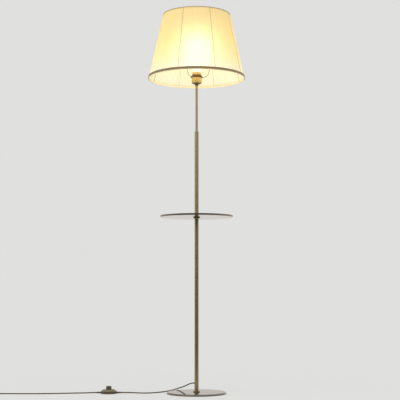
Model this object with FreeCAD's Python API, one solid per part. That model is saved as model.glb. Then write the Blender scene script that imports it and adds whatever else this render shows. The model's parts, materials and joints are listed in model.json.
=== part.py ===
import FreeCAD, Part
import math
import os

# Floor lamp with a round table. Millimetres, +Z up, the origin at the centre of the base's
# underside, the front towards -Y and +X to the right.

# --- Base ---
BASE_D = 240.0               # pressed cover, outside
BASE_H = 8.0                 # floor to the cover's flat top
BASE_SHOULDER_R = 4.5        # rounded shoulder of the cover
BASE_SHEET = 1.0             # thickness of the cover's sheet
BASE_LIFT = 0.8              # floor to the cover's lower edge
WEIGHT_GAP = 0.2             # weight to the inside of the cover
PAD_D = 226.0                # pad under the weight
PAD_T = 1.5
NUT_ROOM = 3.5               # depth of the recess for the nut, up from the weight's underside
NUT_ROOM_D = 22.0

# --- Threaded fixings: hollow 10 mm threaded tube, with nuts and inserts to suit ---
THREAD_OD = 10.0
THREAD_ID = 8.0
THREAD_GAP = 0.05            # radial, thread to thread
NIPPLE_GRIP = 13.0           # length of a nipple held in one insert
INSERT_L = 15.0
INSERT_GAP = 0.05            # radial, insert to tube
NUT_AF = 14.0                # across flats
NUT_T = 2.5
WASHER_D = 18.0
WASHER_T = 0.8

# --- Column: three equal tubes ---
TUBE_OD = 17.0
TUBE_WALL = 1.0
TUBE_L = 348.0
TUBE_EDGE = 0.4              # small chamfer at the ends, which shows as a fine line at each joint
COLLAR_D = 28.0
COLLAR_H = 4.0
COLLAR_EDGE = 0.8
CAP_H = 6.0                  # reducer on top of the column
CAP_CHAMFER = 2.0
STEM_L = 189.8               # bare length of the thin stem, cap to lamp holder

# --- Table: a shallow pressed tray ---
TRAY_D = 300.0
TRAY_DEPTH = 7.2
TRAY_SHEET = 1.2
TRAY_CORNER_R = 2.8          # outside, between the flat and the rim
TRAY_BEAD = 2.2              # thickness of the rolled edge
TRAY_COLLAR_H = 5.0

# --- Lamp holder, for a bulb with a 27 mm screw cap ---
CUP_SHOULDER = 3.5           # cup's cylinder beyond the sleeve, radial
CUP_WALL = 1.2
CUP_NECK_D = 13.0
CUP_NECK_H = 5.5
CUP_DOME_H = 5.5
CUP_H = 33.0                 # neck, dome and cylinder together
SLEEVE_WALL = 1.2
SLEEVE_RISE = 21.6           # above the cup's rim
SLEEVE_GRIP = 7.0            # inside the cup
SLEEVE_FLANGE_T = 1.5
SLEEVE_EDGE = 0.5
CORE_GAP = 0.2               # radial, core to sleeve
CORE_FLOOR = 12.0            # thickness of the core's floor
CORE_RISE = 17.0             # core above the cup's rim
CORE_WALL = 2.0
SHELL_T = 0.6                # screw shell
SHELL_L = 25.0
SHELL_GAP = 0.75             # radial, screw shell to the bulb's cap
CONTACT_T = 0.5
CONTACT_W = 4.0
CONTACT_FOOT = 2.0           # flat ends of the centre contact, outside the core's hole
CONTACT_RISE = 1.6           # top of the centre contact above the core's floor

# --- Bulb ---
BULB_D = 60.0
BULB_L = 106.0
BULB_CAP_D = 26.4
BULB_CAP_L = 26.0
BULB_TIP_D = 9.0
BULB_TIP_H = 2.0
BULB_INSULATOR_H = 2.0       # cone between the tip and the cap
BULB_WALL = 1.0
BULB_NECK_INSET = 0.6        # glass inside the cap's edge
BULB_SWELL_DEG = -28.0       # where the neck's curve meets the round crown
BULB_NECK_BOW = 1.2          # hollow of the neck's curve

# --- Shade and the frame that carries it ---
SHADE_TOP_D = 280.0          # over the braid and the piping
SHADE_BOTTOM_D = 400.0
SHADE_H = 270.0
SHADE_DROP = 5.0             # shade's lower edge below the carrier ring
FABRIC_T = 2.0               # depth of the pleated cloth
BRAID_H = 12.0
BRAID_T = 1.5
BRAID_GAP = 0.05             # braid and piping to the cloth
PIPING_D = 3.2
RING_WIRE_D = 4.0
RIB_WIRE_D = 3.0
FRAME_GAP = 0.3              # wire frame to the cloth
RIBS = 8
RIB_START_DEG = 22.5
CARRIER_W = 7.0              # carrier ring beyond the sleeve, radial
CARRIER_T = 2.0
CARRIER_GAP = 0.2            # carrier ring to the holder's sleeve
ARMS = 3
ARM_START_DEG = -15.0
ARM_WIRE_D = 3.0
ARM_FLAT = 6.0               # level stretch beside the carrier ring
ARM_BEND_R = 20.0
CLAMP_H = 10.0               # screwed ring that holds the carrier down
CLAMP_W = 6.0                # beyond the sleeve, radial
CLAMP_TOP_W = 1.5
CLAMP_SKIRT = 2.5            # straight lower part of the clamp ring

# --- Cord ---
CORD_D = 4.8
CORD_GAP = 0.05              # radial, cord to a bushing or a strain relief
CORD_EXIT_Z = 42.0
CORD_EXIT_DEG = 124.0        # behind the column, a little to the left
BUSHING_WALL = 1.6
BUSHING_FLANGE_W = 1.25
BUSHING_FLANGE_T = 1.2
BUSHING_SHOULDER = 0.6       # from the flange's face down to the nose
BUSHING_NOSE = 12.0          # tapered nose outside the tube
BUSHING_TIP_WALL = 0.7
INNER_BEND_R = 6.5           # the lead's bend inside the column

# --- Foot switch, on the cord ---
SWITCH_X = -355.0
SWITCH_Y = 14.0
SWITCH_D = 64.0
SWITCH_BASE_H = 9.5
SWITCH_WALL = 1.8
SWITCH_FLOOR = 2.0
SWITCH_H = 18.4              # top of the dome
SWITCH_CORD_GAP = 0.1        # cord to the switch's floor
RELIEF_L = 18.0              # outside the switch
RELIEF_WALL = 1.1
RELIEF_TIP_WALL = 0.6
RELIEF_FLANGE_W = 0.6
RELIEF_FLANGE_T = 1.2
RELIEF_SEAT_GAP = 0.2        # flange to the switch's wall
BUTTON_D = 21.8
BUTTON_TOP_Z = 30.0
BUTTON_WALL = 1.6
BUTTON_GAP = 0.3             # radial, button to the dome's hole
BUTTON_FLANGE = 1.8          # lip that keeps the button in
BUTTON_LIP_T = 1.4
BUTTON_LIP_GAP = 0.6         # lip to the underside of the dome
BUTTON_EDGE_R = 1.5
BUTTON_POST_D = 5.0
BUTTON_TRAVEL = 4.0
BLOCK_L = 26.0               # insulated block with the contacts
BLOCK_W = 16.0
BLOCK_TOP_Z = 9.4
CLAMP_BLOCK = (9.0, 2.0, 5.0)  # cord clamp beside the block: length, thickness, height
SPRING_D = 11.0
SPRING_WIRE = 0.9
SPRING_TURNS = 4
SPRING_STEPS = 8             # path points in each turn
SCREW_D = 2.6
SCREW_HEAD_D = 5.0
SCREW_HEAD_T = 1.4
SCREW_SINK = 0.6             # screw head above the floor
SCREW_TOP_Z = 12.0
SCREW_GAP = 0.1
BOSS_D = 6.4
BOSS_FOOT_Z = 3.4            # where the base's bosses meet the dome's
SCREW_REACH = 23.0           # screws from the switch's centre

# --- Cord's coil, tie and plug ---
COIL_X = -846.0
COIL_ARRIVAL_Y = -11.5       # line on which the cord reaches the coil
COIL_MID_D = 53.0
COIL_ACROSS = 3              # turns side by side
COIL_LAYERS = 2
COIL_LIFT = 0.9              # room for the tie underneath
TIE_T = 0.7
TIE_W = 7.0
TIE_GAP = 0.1
TIE_DEG = 60.0
TAIL_L = 30.0                # coil to the plug's strain relief
PLUG_L = 34.0
PLUG_W = 35.0
PLUG_FACE_W = 27.0           # face that the pins stand on
PLUG_NECK_W = 12.0
PLUG_T = 13.6
PLUG_EDGE_R = 2.4
PLUG_RELIEF_L = 20.0
PLUG_RELIEF_WALL = 1.9
PLUG_RELIEF_TIP_WALL = 0.6
PIN_D = 4.0
PIN_L = 19.0
PIN_PITCH = 19.0
PIN_ROOT = 8.0               # pin inside the body

# --- Lamp holder's radii, from the bulb's cap outwards ---
SHELL_IN_R = BULB_CAP_D / 2 + SHELL_GAP
SHELL_OUT_R = SHELL_IN_R + SHELL_T
CORE_IN_R = SHELL_OUT_R + THREAD_GAP
CORE_OUT_R = CORE_IN_R + CORE_WALL
SLEEVE_IN_R = CORE_OUT_R + CORE_GAP
SLEEVE_OUT_R = SLEEVE_IN_R + SLEEVE_WALL
CUP_R = SLEEVE_OUT_R + CUP_SHOULDER
CARRIER_R = SLEEVE_OUT_R + CARRIER_W

# --- Pieces that hold the cord, from the cord outwards ---
CORD_R = CORD_D / 2
CORD_BORE_R = CORD_R + CORD_GAP
BUSHING_R = CORD_R + BUSHING_WALL
RELIEF_R = CORD_R + RELIEF_WALL
SWITCH_CORD_Z = SWITCH_FLOOR + CORD_R + SWITCH_CORD_GAP
FLOOR_CORD_Z = CORD_R

# --- Heights, from the floor up ---
TUBE_ID = TUBE_OD - 2 * TUBE_WALL
WEIGHT_TOP_Z = BASE_H - BASE_SHEET
LOWER_Z = BASE_H + COLLAR_H
MIDDLE_Z = LOWER_Z + TUBE_L
TRAY_COLLAR_Z = MIDDLE_Z + TUBE_L
TRAY_Z = TRAY_COLLAR_Z + TRAY_COLLAR_H
TRAY_WASHER_Z = TRAY_Z + TRAY_SHEET
UPPER_Z = TRAY_WASHER_Z + WASHER_T
CAP_Z = UPPER_Z + TUBE_L
STEM_Z = CAP_Z + CAP_H
CUP_Z = STEM_Z + STEM_L
CARRIER_Z = CUP_Z + CUP_H
CLAMP_Z = CARRIER_Z + CARRIER_T
CORE_TOP_Z = CARRIER_Z + CORE_RISE
CORE_Z = CUP_Z + CUP_NECK_H + CUP_DOME_H + CUP_WALL
SHELL_Z = CORE_Z + CORE_FLOOR
BULB_Z = SHELL_Z + CONTACT_RISE
SHADE_Z = CARRIER_Z - SHADE_DROP
SHADE_TOP_Z = SHADE_Z + SHADE_H

# --- Shade's cone: outside of the cloth, under the braid and the piping ---
CLOTH_BOTTOM_R = SHADE_BOTTOM_D / 2 - BRAID_T
CLOTH_TOP_R = SHADE_TOP_D / 2 - 0.5 * PIPING_D
CONE_SLOPE = (CLOTH_BOTTOM_R - CLOTH_TOP_R) / SHADE_H
CONE_COS = 1 / math.hypot(1, CONE_SLOPE)

COIL_R = COIL_MID_D / 2
COIL_BAND = COIL_ACROSS * CORD_D / 2
COIL_H = CORD_D * (1 + 0.9 * (COIL_LAYERS - 1))
COIL_OUTER_TURN_R = COIL_R + COIL_BAND - CORD_R
COIL_Y = COIL_ARRIVAL_Y + COIL_OUTER_TURN_R
COIL_IN_R = COIL_R - COIL_BAND
COIL_OUT_R = COIL_R + COIL_BAND
COIL_TOP_Z = COIL_LIFT + COIL_H
COIL_CONTACT = math.sqrt(COIL_OUT_R ** 2 - COIL_OUTER_TURN_R ** 2) + 1

Z_AXIS = FreeCAD.Vector(0, 0, 1)
ORIGIN = FreeCAD.Vector(0, 0, 0)
SWITCH_CENTRE = FreeCAD.Vector(SWITCH_X, SWITCH_Y, 0)
COIL_CENTRE = FreeCAD.Vector(COIL_X, COIL_Y, 0)


# --- Shapes that many pieces share ---
def turned(start, *steps):
    """Solid of revolution about Z. A step is (r, z), or a pair for an arc: a point on it, its end."""
    here = FreeCAD.Vector(start[0], 0, start[1])
    edges = []
    for step in steps + (start,):
        if isinstance(step[0], tuple):
            through = FreeCAD.Vector(step[0][0], 0, step[0][1])
            there = FreeCAD.Vector(step[1][0], 0, step[1][1])
            edges.append(Part.Arc(here, through, there).toShape())
        else:
            there = FreeCAD.Vector(step[0], 0, step[1])
            if there.distanceToPoint(here) > 1e-6:
                edges.append(Part.makeLine(here, there))
        here = there
    return Part.Face(Part.Wire(edges)).revolve(ORIGIN, Z_AXIS, 360)


def sleeve(outer_r, inner_r, low, high):
    return turned((inner_r, low), (outer_r, low), (outer_r, high), (inner_r, high))


def disc(radius, low, high, x=0.0, y=0.0):
    return Part.makeCylinder(radius, high - low, FreeCAD.Vector(x, y, low))


def shoulder(corner_r, centre_r, centre_z, degrees=45):
    """A point on a rounded corner, seen in section."""
    angle = math.radians(degrees)
    return (centre_r + corner_r * math.cos(angle), centre_z + corner_r * math.sin(angle))


def hexagon(across_flats, low, high):
    corner = across_flats / math.sqrt(3)
    around = [math.radians(60 * k) for k in range(7)]
    points = [FreeCAD.Vector(corner * math.cos(a), corner * math.sin(a), low) for a in around]
    return Part.Face(Part.makePolygon(points)).extrude(FreeCAD.Vector(0, 0, high - low))


def about_axis(shape, count, start_deg):
    """Copies of a shape evenly around Z."""
    copies = []
    for k in range(count):
        copy = shape.copy()
        copy.rotate(ORIGIN, Z_AXIS, start_deg + 360.0 * k / count)
        copies.append(copy)
    return copies


def in_radial_plane(r, z):
    return FreeCAD.Vector(r, 0, z)


def rounded_path(points):
    """Straight runs joined by tangent arcs, and the arcs' radii."""
    edges = []
    radii = []
    here = points[0]
    for before, corner, after in zip(points, points[1:], points[2:]):
        back = (before - corner).normalize()
        ahead = (after - corner).normalize()
        turn = math.pi - back.getAngle(ahead)
        setback = 0.45 * min(before.distanceToPoint(corner), corner.distanceToPoint(after))
        radii.append(setback / math.tan(turn / 2))
        middle_way = (back + ahead).normalize()
        reach = radii[-1] / math.cos(turn / 2) - radii[-1]
        arc_start = corner + back * setback
        arc_end = corner + ahead * setback
        edges.append(Part.LineSegment(here, arc_start).toShape())
        edges.append(Part.Arc(arc_start, corner + middle_way * reach, arc_end).toShape())
        here = arc_end
    edges.append(Part.LineSegment(here, points[-1]).toShape())
    return Part.Wire(edges), radii


def swept(path, radius):
    """Round section along a path of lines and arcs."""
    first = path.OrderedEdges[0]
    start = first.valueAt(first.FirstParameter)
    section = Part.Circle(start, first.tangentAt(first.FirstParameter), radius)
    return path.makePipeShell([Part.Wire(section.toShape())], True, False)


def bent_wire(path, diameter):
    """Stiff wire along a path of lines and arcs: a cylinder or a piece of a ring for each."""
    pieces = []
    for edge in path.OrderedEdges:
        start = edge.valueAt(edge.FirstParameter)
        heading = edge.tangentAt(edge.FirstParameter)
        section = Part.Face(Part.Wire(Part.Circle(start, heading, diameter / 2).toShape()))
        if edge.Curve.TypeId == "Part::GeomCircle":
            turn = math.degrees(edge.Length / edge.Curve.Radius)
            pieces.append(section.revolve(edge.Curve.Center, edge.Curve.Axis, turn))
        else:
            pieces.append(section.extrude(heading * edge.Length))
    return pieces[0].multiFuse(pieces[1:])


def cord_tube(name, points):
    path, radii = rounded_path([FreeCAD.Vector(*p) for p in points])
    tube = swept(path, CORD_R)
    full = path.Length * math.pi * CORD_R ** 2
    print(f"{name}: length {path.Length:.0f} mm, tightest arc {min(radii):.0f} mm, "
          f"volume {tube.Volume / full:.4f} of section times length")
    return tube


def along(direction_deg, distance, z):
    angle = math.radians(direction_deg)
    return (distance * math.cos(angle), distance * math.sin(angle), z)


# --- Base ---
def base_pad():
    return disc(PAD_D / 2, 0, PAD_T)


def base_cover():
    out_r = BASE_D / 2
    in_r = out_r - BASE_SHEET
    centre_r = out_r - BASE_SHOULDER_R
    centre_z = BASE_H - BASE_SHOULDER_R
    inner_corner = BASE_SHOULDER_R - BASE_SHEET
    hole = THREAD_OD / 2 + THREAD_GAP
    return turned(
        (hole, WEIGHT_TOP_Z), (centre_r, WEIGHT_TOP_Z),
        (shoulder(inner_corner, centre_r, centre_z), (in_r, centre_z)),
        (in_r, BASE_LIFT), (out_r, BASE_LIFT), (out_r, centre_z),
        (shoulder(BASE_SHOULDER_R, centre_r, centre_z), (centre_r, BASE_H)),
        (hole, BASE_H))


def base_weight():
    out_r = BASE_D / 2 - BASE_SHEET - WEIGHT_GAP
    corner = BASE_SHOULDER_R - BASE_SHEET
    plate = turned(
        (0, PAD_T), (out_r, PAD_T), (out_r, WEIGHT_TOP_Z - corner),
        (shoulder(corner, out_r - corner, WEIGHT_TOP_Z - corner), (out_r - corner, WEIGHT_TOP_Z)),
        (0, WEIGHT_TOP_Z))
    recess = disc(NUT_ROOM_D / 2, PAD_T, PAD_T + NUT_ROOM)
    hole = disc(THREAD_OD / 2 + THREAD_GAP, PAD_T, WEIGHT_TOP_Z)
    return plate.cut(recess.fuse(hole))


def base_washer():
    top = PAD_T + NUT_ROOM
    return sleeve(WASHER_D / 2, THREAD_OD / 2 + THREAD_GAP, top - WASHER_T, top)


def base_nut():
    top = PAD_T + NUT_ROOM - WASHER_T
    bore = disc(THREAD_OD / 2 + THREAD_GAP, top - NUT_T, top)
    return hexagon(NUT_AF, top - NUT_T, top).cut(bore)


def base_nipple():
    low = PAD_T + NUT_ROOM - WASHER_T - NUT_T
    return sleeve(THREAD_OD / 2, THREAD_ID / 2, low, LOWER_Z + NIPPLE_GRIP)


def collar(low, high):
    bore = THREAD_OD / 2 + THREAD_GAP
    out_r = COLLAR_D / 2
    return turned(
        (bore, low), (out_r - COLLAR_EDGE, low), (out_r, low + COLLAR_EDGE),
        (out_r, high - COLLAR_EDGE), (out_r - COLLAR_EDGE, high), (bore, high))


def base_collar():
    return collar(BASE_H, LOWER_Z)


# --- Column ---
def column_tube(low):
    high = low + TUBE_L
    out_r = TUBE_OD / 2
    in_r = TUBE_ID / 2
    return turned(
        (in_r, low), (out_r - TUBE_EDGE, low), (out_r, low + TUBE_EDGE),
        (out_r, high - TUBE_EDGE), (out_r - TUBE_EDGE, high), (in_r, high))


def column_tube_lower():
    hole = Part.makeCylinder(
        BUSHING_R + THREAD_GAP, TUBE_OD, FreeCAD.Vector(0, 0, CORD_EXIT_Z),
        FreeCAD.Vector(*along(CORD_EXIT_DEG, 1, 0)))
    return column_tube(LOWER_Z).cut(hole)


def column_inserts():
    out_r = TUBE_ID / 2 - INSERT_GAP
    bore = THREAD_OD / 2 + THREAD_GAP
    inserts = []
    for low in (LOWER_Z, MIDDLE_Z, UPPER_Z):
        high = low + TUBE_L
        inserts.append(sleeve(out_r, bore, low, low + INSERT_L))
        inserts.append(sleeve(out_r, bore, high - INSERT_L, high))
    return Part.Compound(inserts)


def nipple(low, high):
    return sleeve(THREAD_OD / 2, THREAD_ID / 2, low - NIPPLE_GRIP, high + NIPPLE_GRIP)


def column_cap():
    bore = THREAD_OD / 2 + THREAD_GAP
    out_r = TUBE_OD / 2
    return turned(
        (bore, CAP_Z), (out_r - TUBE_EDGE, CAP_Z), (out_r, CAP_Z + TUBE_EDGE),
        (out_r, STEM_Z - CAP_CHAMFER), (out_r - CAP_CHAMFER, STEM_Z), (bore, STEM_Z))


def stem_tube():
    return sleeve(THREAD_OD / 2, THREAD_ID / 2, CAP_Z - NIPPLE_GRIP, CUP_Z + CUP_NECK_H - THREAD_GAP)


# --- Table ---
def table_tray():
    out_r = TRAY_D / 2
    rim_z = TRAY_Z + TRAY_DEPTH
    bead_r = TRAY_BEAD / 2
    wall_out = out_r - (TRAY_BEAD - TRAY_SHEET)
    wall_in = wall_out - TRAY_SHEET
    centre_r = wall_out - TRAY_CORNER_R
    centre_z = TRAY_Z + TRAY_CORNER_R
    inner_corner = TRAY_CORNER_R - TRAY_SHEET
    bore = THREAD_OD / 2 + THREAD_GAP
    bead_z = rim_z - bead_r
    return turned(
        (bore, TRAY_Z), (centre_r, TRAY_Z),
        (shoulder(TRAY_CORNER_R, centre_r, centre_z, -45), (wall_out, centre_z)),
        (wall_out, bead_z - bead_r), (out_r - bead_r, bead_z - bead_r),
        ((out_r, bead_z), (out_r - bead_r, rim_z)),
        (shoulder(bead_r, wall_in + bead_r, bead_z, 135), (wall_in, bead_z)),
        (wall_in, centre_z),
        (shoulder(inner_corner, centre_r, centre_z, -45), (centre_r, TRAY_WASHER_Z)),
        (bore, TRAY_WASHER_Z))


def tray_washer():
    return sleeve(WASHER_D / 2, THREAD_OD / 2 + THREAD_GAP, TRAY_WASHER_Z, UPPER_Z)


# --- Lamp holder ---
def holder_cup():
    bore = THREAD_OD / 2 + THREAD_GAP
    neck_r = CUP_NECK_D / 2
    out_r = CUP_R
    in_r = out_r - CUP_WALL
    neck_top = CUP_Z + CUP_NECK_H
    dome_top = neck_top + CUP_DOME_H
    mid_r = 0.62 * out_r + 0.38 * neck_r
    mid_z = neck_top + 0.38 * CUP_DOME_H
    inner_z = neck_top + CUP_WALL
    return turned(
        (bore, CUP_Z), (neck_r, CUP_Z), (neck_r, neck_top),
        ((mid_r, mid_z), (out_r, dome_top)), (out_r, CARRIER_Z), (in_r, CARRIER_Z),
        (in_r, dome_top + CUP_WALL),
        ((mid_r - CUP_WALL, mid_z + CUP_WALL), (bore, inner_z)))


def holder_core():
    hole_r = THREAD_ID / 2
    return turned(
        (hole_r, CORE_Z), (CORE_OUT_R, CORE_Z), (CORE_OUT_R, CORE_TOP_Z), (CORE_IN_R, CORE_TOP_Z),
        (CORE_IN_R, SHELL_Z), (hole_r, SHELL_Z))


def holder_screw_shell():
    return sleeve(SHELL_OUT_R, SHELL_IN_R, SHELL_Z, SHELL_Z + SHELL_L)


def holder_contacts():
    """Centre contact, a bent leaf over the core's hole, and the side contact beside it."""
    half_w = CONTACT_W / 2
    crown = SHELL_Z + CONTACT_RISE
    foot_x = -(THREAD_ID / 2 + CONTACT_FOOT)
    bend_x = foot_x + CONTACT_FOOT
    thick = CONTACT_T / 2
    profile = [
        (foot_x, SHELL_Z), (foot_x, SHELL_Z + CONTACT_T), (bend_x, SHELL_Z + CONTACT_T),
        (-half_w, crown), (half_w, crown), (half_w, crown - CONTACT_T),
        (-half_w + thick, crown - CONTACT_T), (bend_x + thick, SHELL_Z), (foot_x, SHELL_Z)]
    leaf = Part.makePolygon([FreeCAD.Vector(x, -half_w, z) for x, z in profile])
    centre = Part.Face(leaf).extrude(FreeCAD.Vector(0, CONTACT_W, 0))
    side = Part.makeBox(
        CONTACT_W, CONTACT_W, CONTACT_RISE - CONTACT_T, FreeCAD.Vector(THREAD_ID / 2 + 1, -half_w, SHELL_Z))
    return Part.Compound([centre, side])


def holder_sleeve():
    out_r = SLEEVE_OUT_R
    in_r = SLEEVE_IN_R
    flange_r = CUP_R - CUP_WALL - THREAD_GAP
    low = CARRIER_Z - SLEEVE_GRIP
    flange_z = CARRIER_Z - SLEEVE_FLANGE_T
    top = CARRIER_Z + SLEEVE_RISE
    return turned(
        (in_r, low), (out_r, low), (out_r, flange_z), (flange_r, flange_z),
        (flange_r, CARRIER_Z), (out_r, CARRIER_Z), (out_r, top - SLEEVE_EDGE),
        (out_r - SLEEVE_EDGE, top), (in_r, top))


# --- Bulb ---
def bulb_contact():
    tip_r = BULB_TIP_D / 2
    top = BULB_Z + BULB_TIP_H
    return turned((0, BULB_Z), (tip_r - 1, BULB_Z), (tip_r, top), (0, top))


def bulb_cap():
    low = BULB_Z + BULB_TIP_H
    top = BULB_Z + BULB_CAP_L
    radius = BULB_CAP_D / 2
    cone_z = low + BULB_INSULATOR_H
    return turned((0, low), (BULB_TIP_D / 2 + 1, low), (radius, cone_z), (radius, top), (0, top))


def bulb_globe():
    """Pear-shaped envelope: a neck that swells in one curve to the round crown."""
    low = BULB_Z + BULB_CAP_L
    crown = BULB_Z + BULB_L
    round_r = BULB_D / 2
    inner_r = round_r - BULB_WALL
    centre_z = crown - round_r
    neck_r = BULB_CAP_D / 2 - BULB_NECK_INSET
    swell = shoulder(round_r, 0, centre_z, BULB_SWELL_DEG)
    inner_swell = shoulder(inner_r, 0, centre_z, BULB_SWELL_DEG)
    bow_r = (neck_r + swell[0]) / 2 - BULB_NECK_BOW
    bow_z = (low + swell[1]) / 2 + BULB_NECK_BOW
    return turned(
        (neck_r, low), ((bow_r, bow_z), swell), (shoulder(round_r, 0, centre_z), (0, crown)),
        (0, crown - BULB_WALL), (shoulder(inner_r, 0, centre_z), inner_swell),
        ((bow_r - BULB_WALL, bow_z), (neck_r - BULB_WALL, low)))


# --- Shade ---
def cone_r(z, inset=0.0):
    """Radius of the cloth's outside at a height, or of a cone a distance inside it."""
    return CLOTH_BOTTOM_R - CONE_SLOPE * (z - SHADE_Z) - inset / CONE_COS


def cone_band(low, high, outset, inset):
    return turned((cone_r(low, inset), low), (cone_r(low, -outset), low),
                  (cone_r(high, -outset), high), (cone_r(high, inset), high))


def shade_fabric():
    return cone_band(SHADE_Z, SHADE_TOP_Z - PIPING_D - BRAID_GAP, 0, FABRIC_T)


def shade_bottom_braid():
    return cone_band(SHADE_Z, SHADE_Z + BRAID_H, BRAID_T * CONE_COS, -BRAID_GAP)


def shade_top_piping():
    """Round cord sewn along the cloth's upper edge."""
    radius = PIPING_D / 2
    return Part.makeTorus(SHADE_TOP_D / 2 - radius, radius, FreeCAD.Vector(0, 0, SHADE_TOP_Z - radius))


def ring_centre_r(z):
    return cone_r(z, FABRIC_T + FRAME_GAP + RING_WIRE_D / 2)


RING_LOW_Z = SHADE_Z + RING_WIRE_D / 2
RING_HIGH_Z = SHADE_TOP_Z - PIPING_D - RING_WIRE_D / 2


def shade_ring(z):
    return Part.makeTorus(ring_centre_r(z), RING_WIRE_D / 2, FreeCAD.Vector(0, 0, z))


def shade_ribs():
    """Straight wires from ring to ring, cut to the rings they are welded to."""
    low = in_radial_plane(ring_centre_r(RING_LOW_Z), RING_LOW_Z)
    high = in_radial_plane(ring_centre_r(RING_HIGH_Z), RING_HIGH_Z)
    rib = Part.makeCylinder(RIB_WIRE_D / 2, low.distanceToPoint(high), low, high - low)
    rib = rib.cut(shade_ring(RING_LOW_Z)).cut(shade_ring(RING_HIGH_Z))
    rib = max(rib.Solids, key=lambda solid: solid.Volume)
    return Part.Compound(about_axis(rib, RIBS, RIB_START_DEG))


def carrier_ring():
    return sleeve(CARRIER_R, SLEEVE_OUT_R + CARRIER_GAP, CARRIER_Z, CLAMP_Z)


def carrier_arms():
    """Wires that leave the ring level, turn up like a bowl and run to the shade's top ring."""
    start_z = CARRIER_Z + CARRIER_T / 2
    start_r = CARRIER_R - 1
    bend_r = CARRIER_R + ARM_FLAT
    end = in_radial_plane(ring_centre_r(RING_HIGH_Z), RING_HIGH_Z)
    centre = in_radial_plane(bend_r, start_z + ARM_BEND_R)
    reach = centre.distanceToPoint(end)
    slant = math.atan2(end.z - centre.z, end.x - centre.x) - math.asin(ARM_BEND_R / reach)
    leave = slant - math.pi / 2
    bend_end = centre + FreeCAD.Vector(math.cos(leave), 0, math.sin(leave)) * ARM_BEND_R
    halfway = (leave - math.pi / 2) / 2
    bend_mid = centre + FreeCAD.Vector(math.cos(halfway), 0, math.sin(halfway)) * ARM_BEND_R
    bend_start = in_radial_plane(bend_r, start_z)
    path = Part.Wire([
        Part.LineSegment(in_radial_plane(start_r, start_z), bend_start).toShape(),
        Part.Arc(bend_start, bend_mid, bend_end).toShape(),
        Part.LineSegment(bend_end, end).toShape()])
    arm = bent_wire(path, ARM_WIRE_D).cut(shade_ring(RING_HIGH_Z)).cut(carrier_ring())
    arm = max(arm.Solids, key=lambda solid: solid.Volume)
    return Part.Compound(about_axis(arm, ARMS, ARM_START_DEG))


def shade_clamp_ring():
    bore = SLEEVE_OUT_R + THREAD_GAP
    out_r = SLEEVE_OUT_R + CLAMP_W
    top_r = SLEEVE_OUT_R + CLAMP_TOP_W
    return turned((bore, CLAMP_Z), (out_r, CLAMP_Z), (out_r, CLAMP_Z + CLAMP_SKIRT),
                  (top_r, CLAMP_Z + CLAMP_H), (bore, CLAMP_Z + CLAMP_H))


# --- Cord inside the lamp ---
def bushing_pose(shape):
    """From a piece turned about Z, pointing up, to the cord's exit."""
    shape.rotate(ORIGIN, FreeCAD.Vector(0, 1, 0), 90)
    shape.rotate(ORIGIN, Z_AXIS, CORD_EXIT_DEG)
    shape.translate(FreeCAD.Vector(0, 0, CORD_EXIT_Z))
    return shape


NOSE_END = TUBE_OD / 2 + BUSHING_NOSE


def cord_bushing():
    tube_r = TUBE_OD / 2
    start = TUBE_ID / 2 - 1
    flange = tube_r + BUSHING_FLANGE_T
    flange_r = BUSHING_R + BUSHING_FLANGE_W
    body = turned(
        (CORD_BORE_R, start), (BUSHING_R, start), (BUSHING_R, tube_r - 1), (flange_r, tube_r - 1),
        (flange_r, flange), (BUSHING_R, flange + BUSHING_SHOULDER),
        (CORD_R + BUSHING_TIP_WALL, NOSE_END), (CORD_BORE_R, NOSE_END))
    tube_room = disc(tube_r + CORD_GAP, CORD_EXIT_Z - TUBE_OD, CORD_EXIT_Z + TUBE_OD)
    return bushing_pose(body).cut(tube_room.cut(bushing_pose(disc(BUSHING_R, 0, TUBE_OD))))


def inner_lead():
    """From the bushing's nose into the column and straight up to the lamp holder."""
    outside = FreeCAD.Vector(*along(CORD_EXIT_DEG, NOSE_END, CORD_EXIT_Z))
    bend_start = FreeCAD.Vector(*along(CORD_EXIT_DEG, INNER_BEND_R, CORD_EXIT_Z))
    bend_end = FreeCAD.Vector(0, 0, CORD_EXIT_Z + INNER_BEND_R)
    inward = INNER_BEND_R * (1 - math.sqrt(0.5))
    bend_mid = FreeCAD.Vector(*along(CORD_EXIT_DEG, inward, CORD_EXIT_Z + inward))
    top = FreeCAD.Vector(0, 0, CORE_Z)
    path = Part.Wire([
        Part.LineSegment(outside, bend_start).toShape(),
        Part.Arc(bend_start, bend_mid, bend_end).toShape(),
        Part.LineSegment(bend_end, top).toShape()])
    return swept(path, CORD_R)


# --- Free cord, from the lamp to the foot switch and from there to the coil ---
RELIEF_END = SWITCH_D / 2 + RELIEF_L
BLOCK_END = BLOCK_L / 2

LAMP_TO_SWITCH = [
    along(CORD_EXIT_DEG, NOSE_END, CORD_EXIT_Z),
    (-20.0, 29.5, 40.6),
    (-34.0, 50.0, 33.6),
    (-49.0, 73.0, 24.2),
    (-64.5, 96.0, 16.8),
    (-78.5, 109.5, 11.5),
    (-98.0, 112.5, 4.4),
    (-117.0, 94.0, FLOOR_CORD_Z),
    (-138.0, 60.0, FLOOR_CORD_Z),
    (-166.0, 27.0, FLOOR_CORD_Z),
    (-202.0, 9.0, FLOOR_CORD_Z),
    (-238.0, 17.0, FLOOR_CORD_Z),
    (-266.0, 28.0, 3.0),
    (SWITCH_X + RELIEF_END + 13, SWITCH_Y, SWITCH_CORD_Z),
    (SWITCH_X + BLOCK_END, SWITCH_Y, SWITCH_CORD_Z),
]

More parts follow.
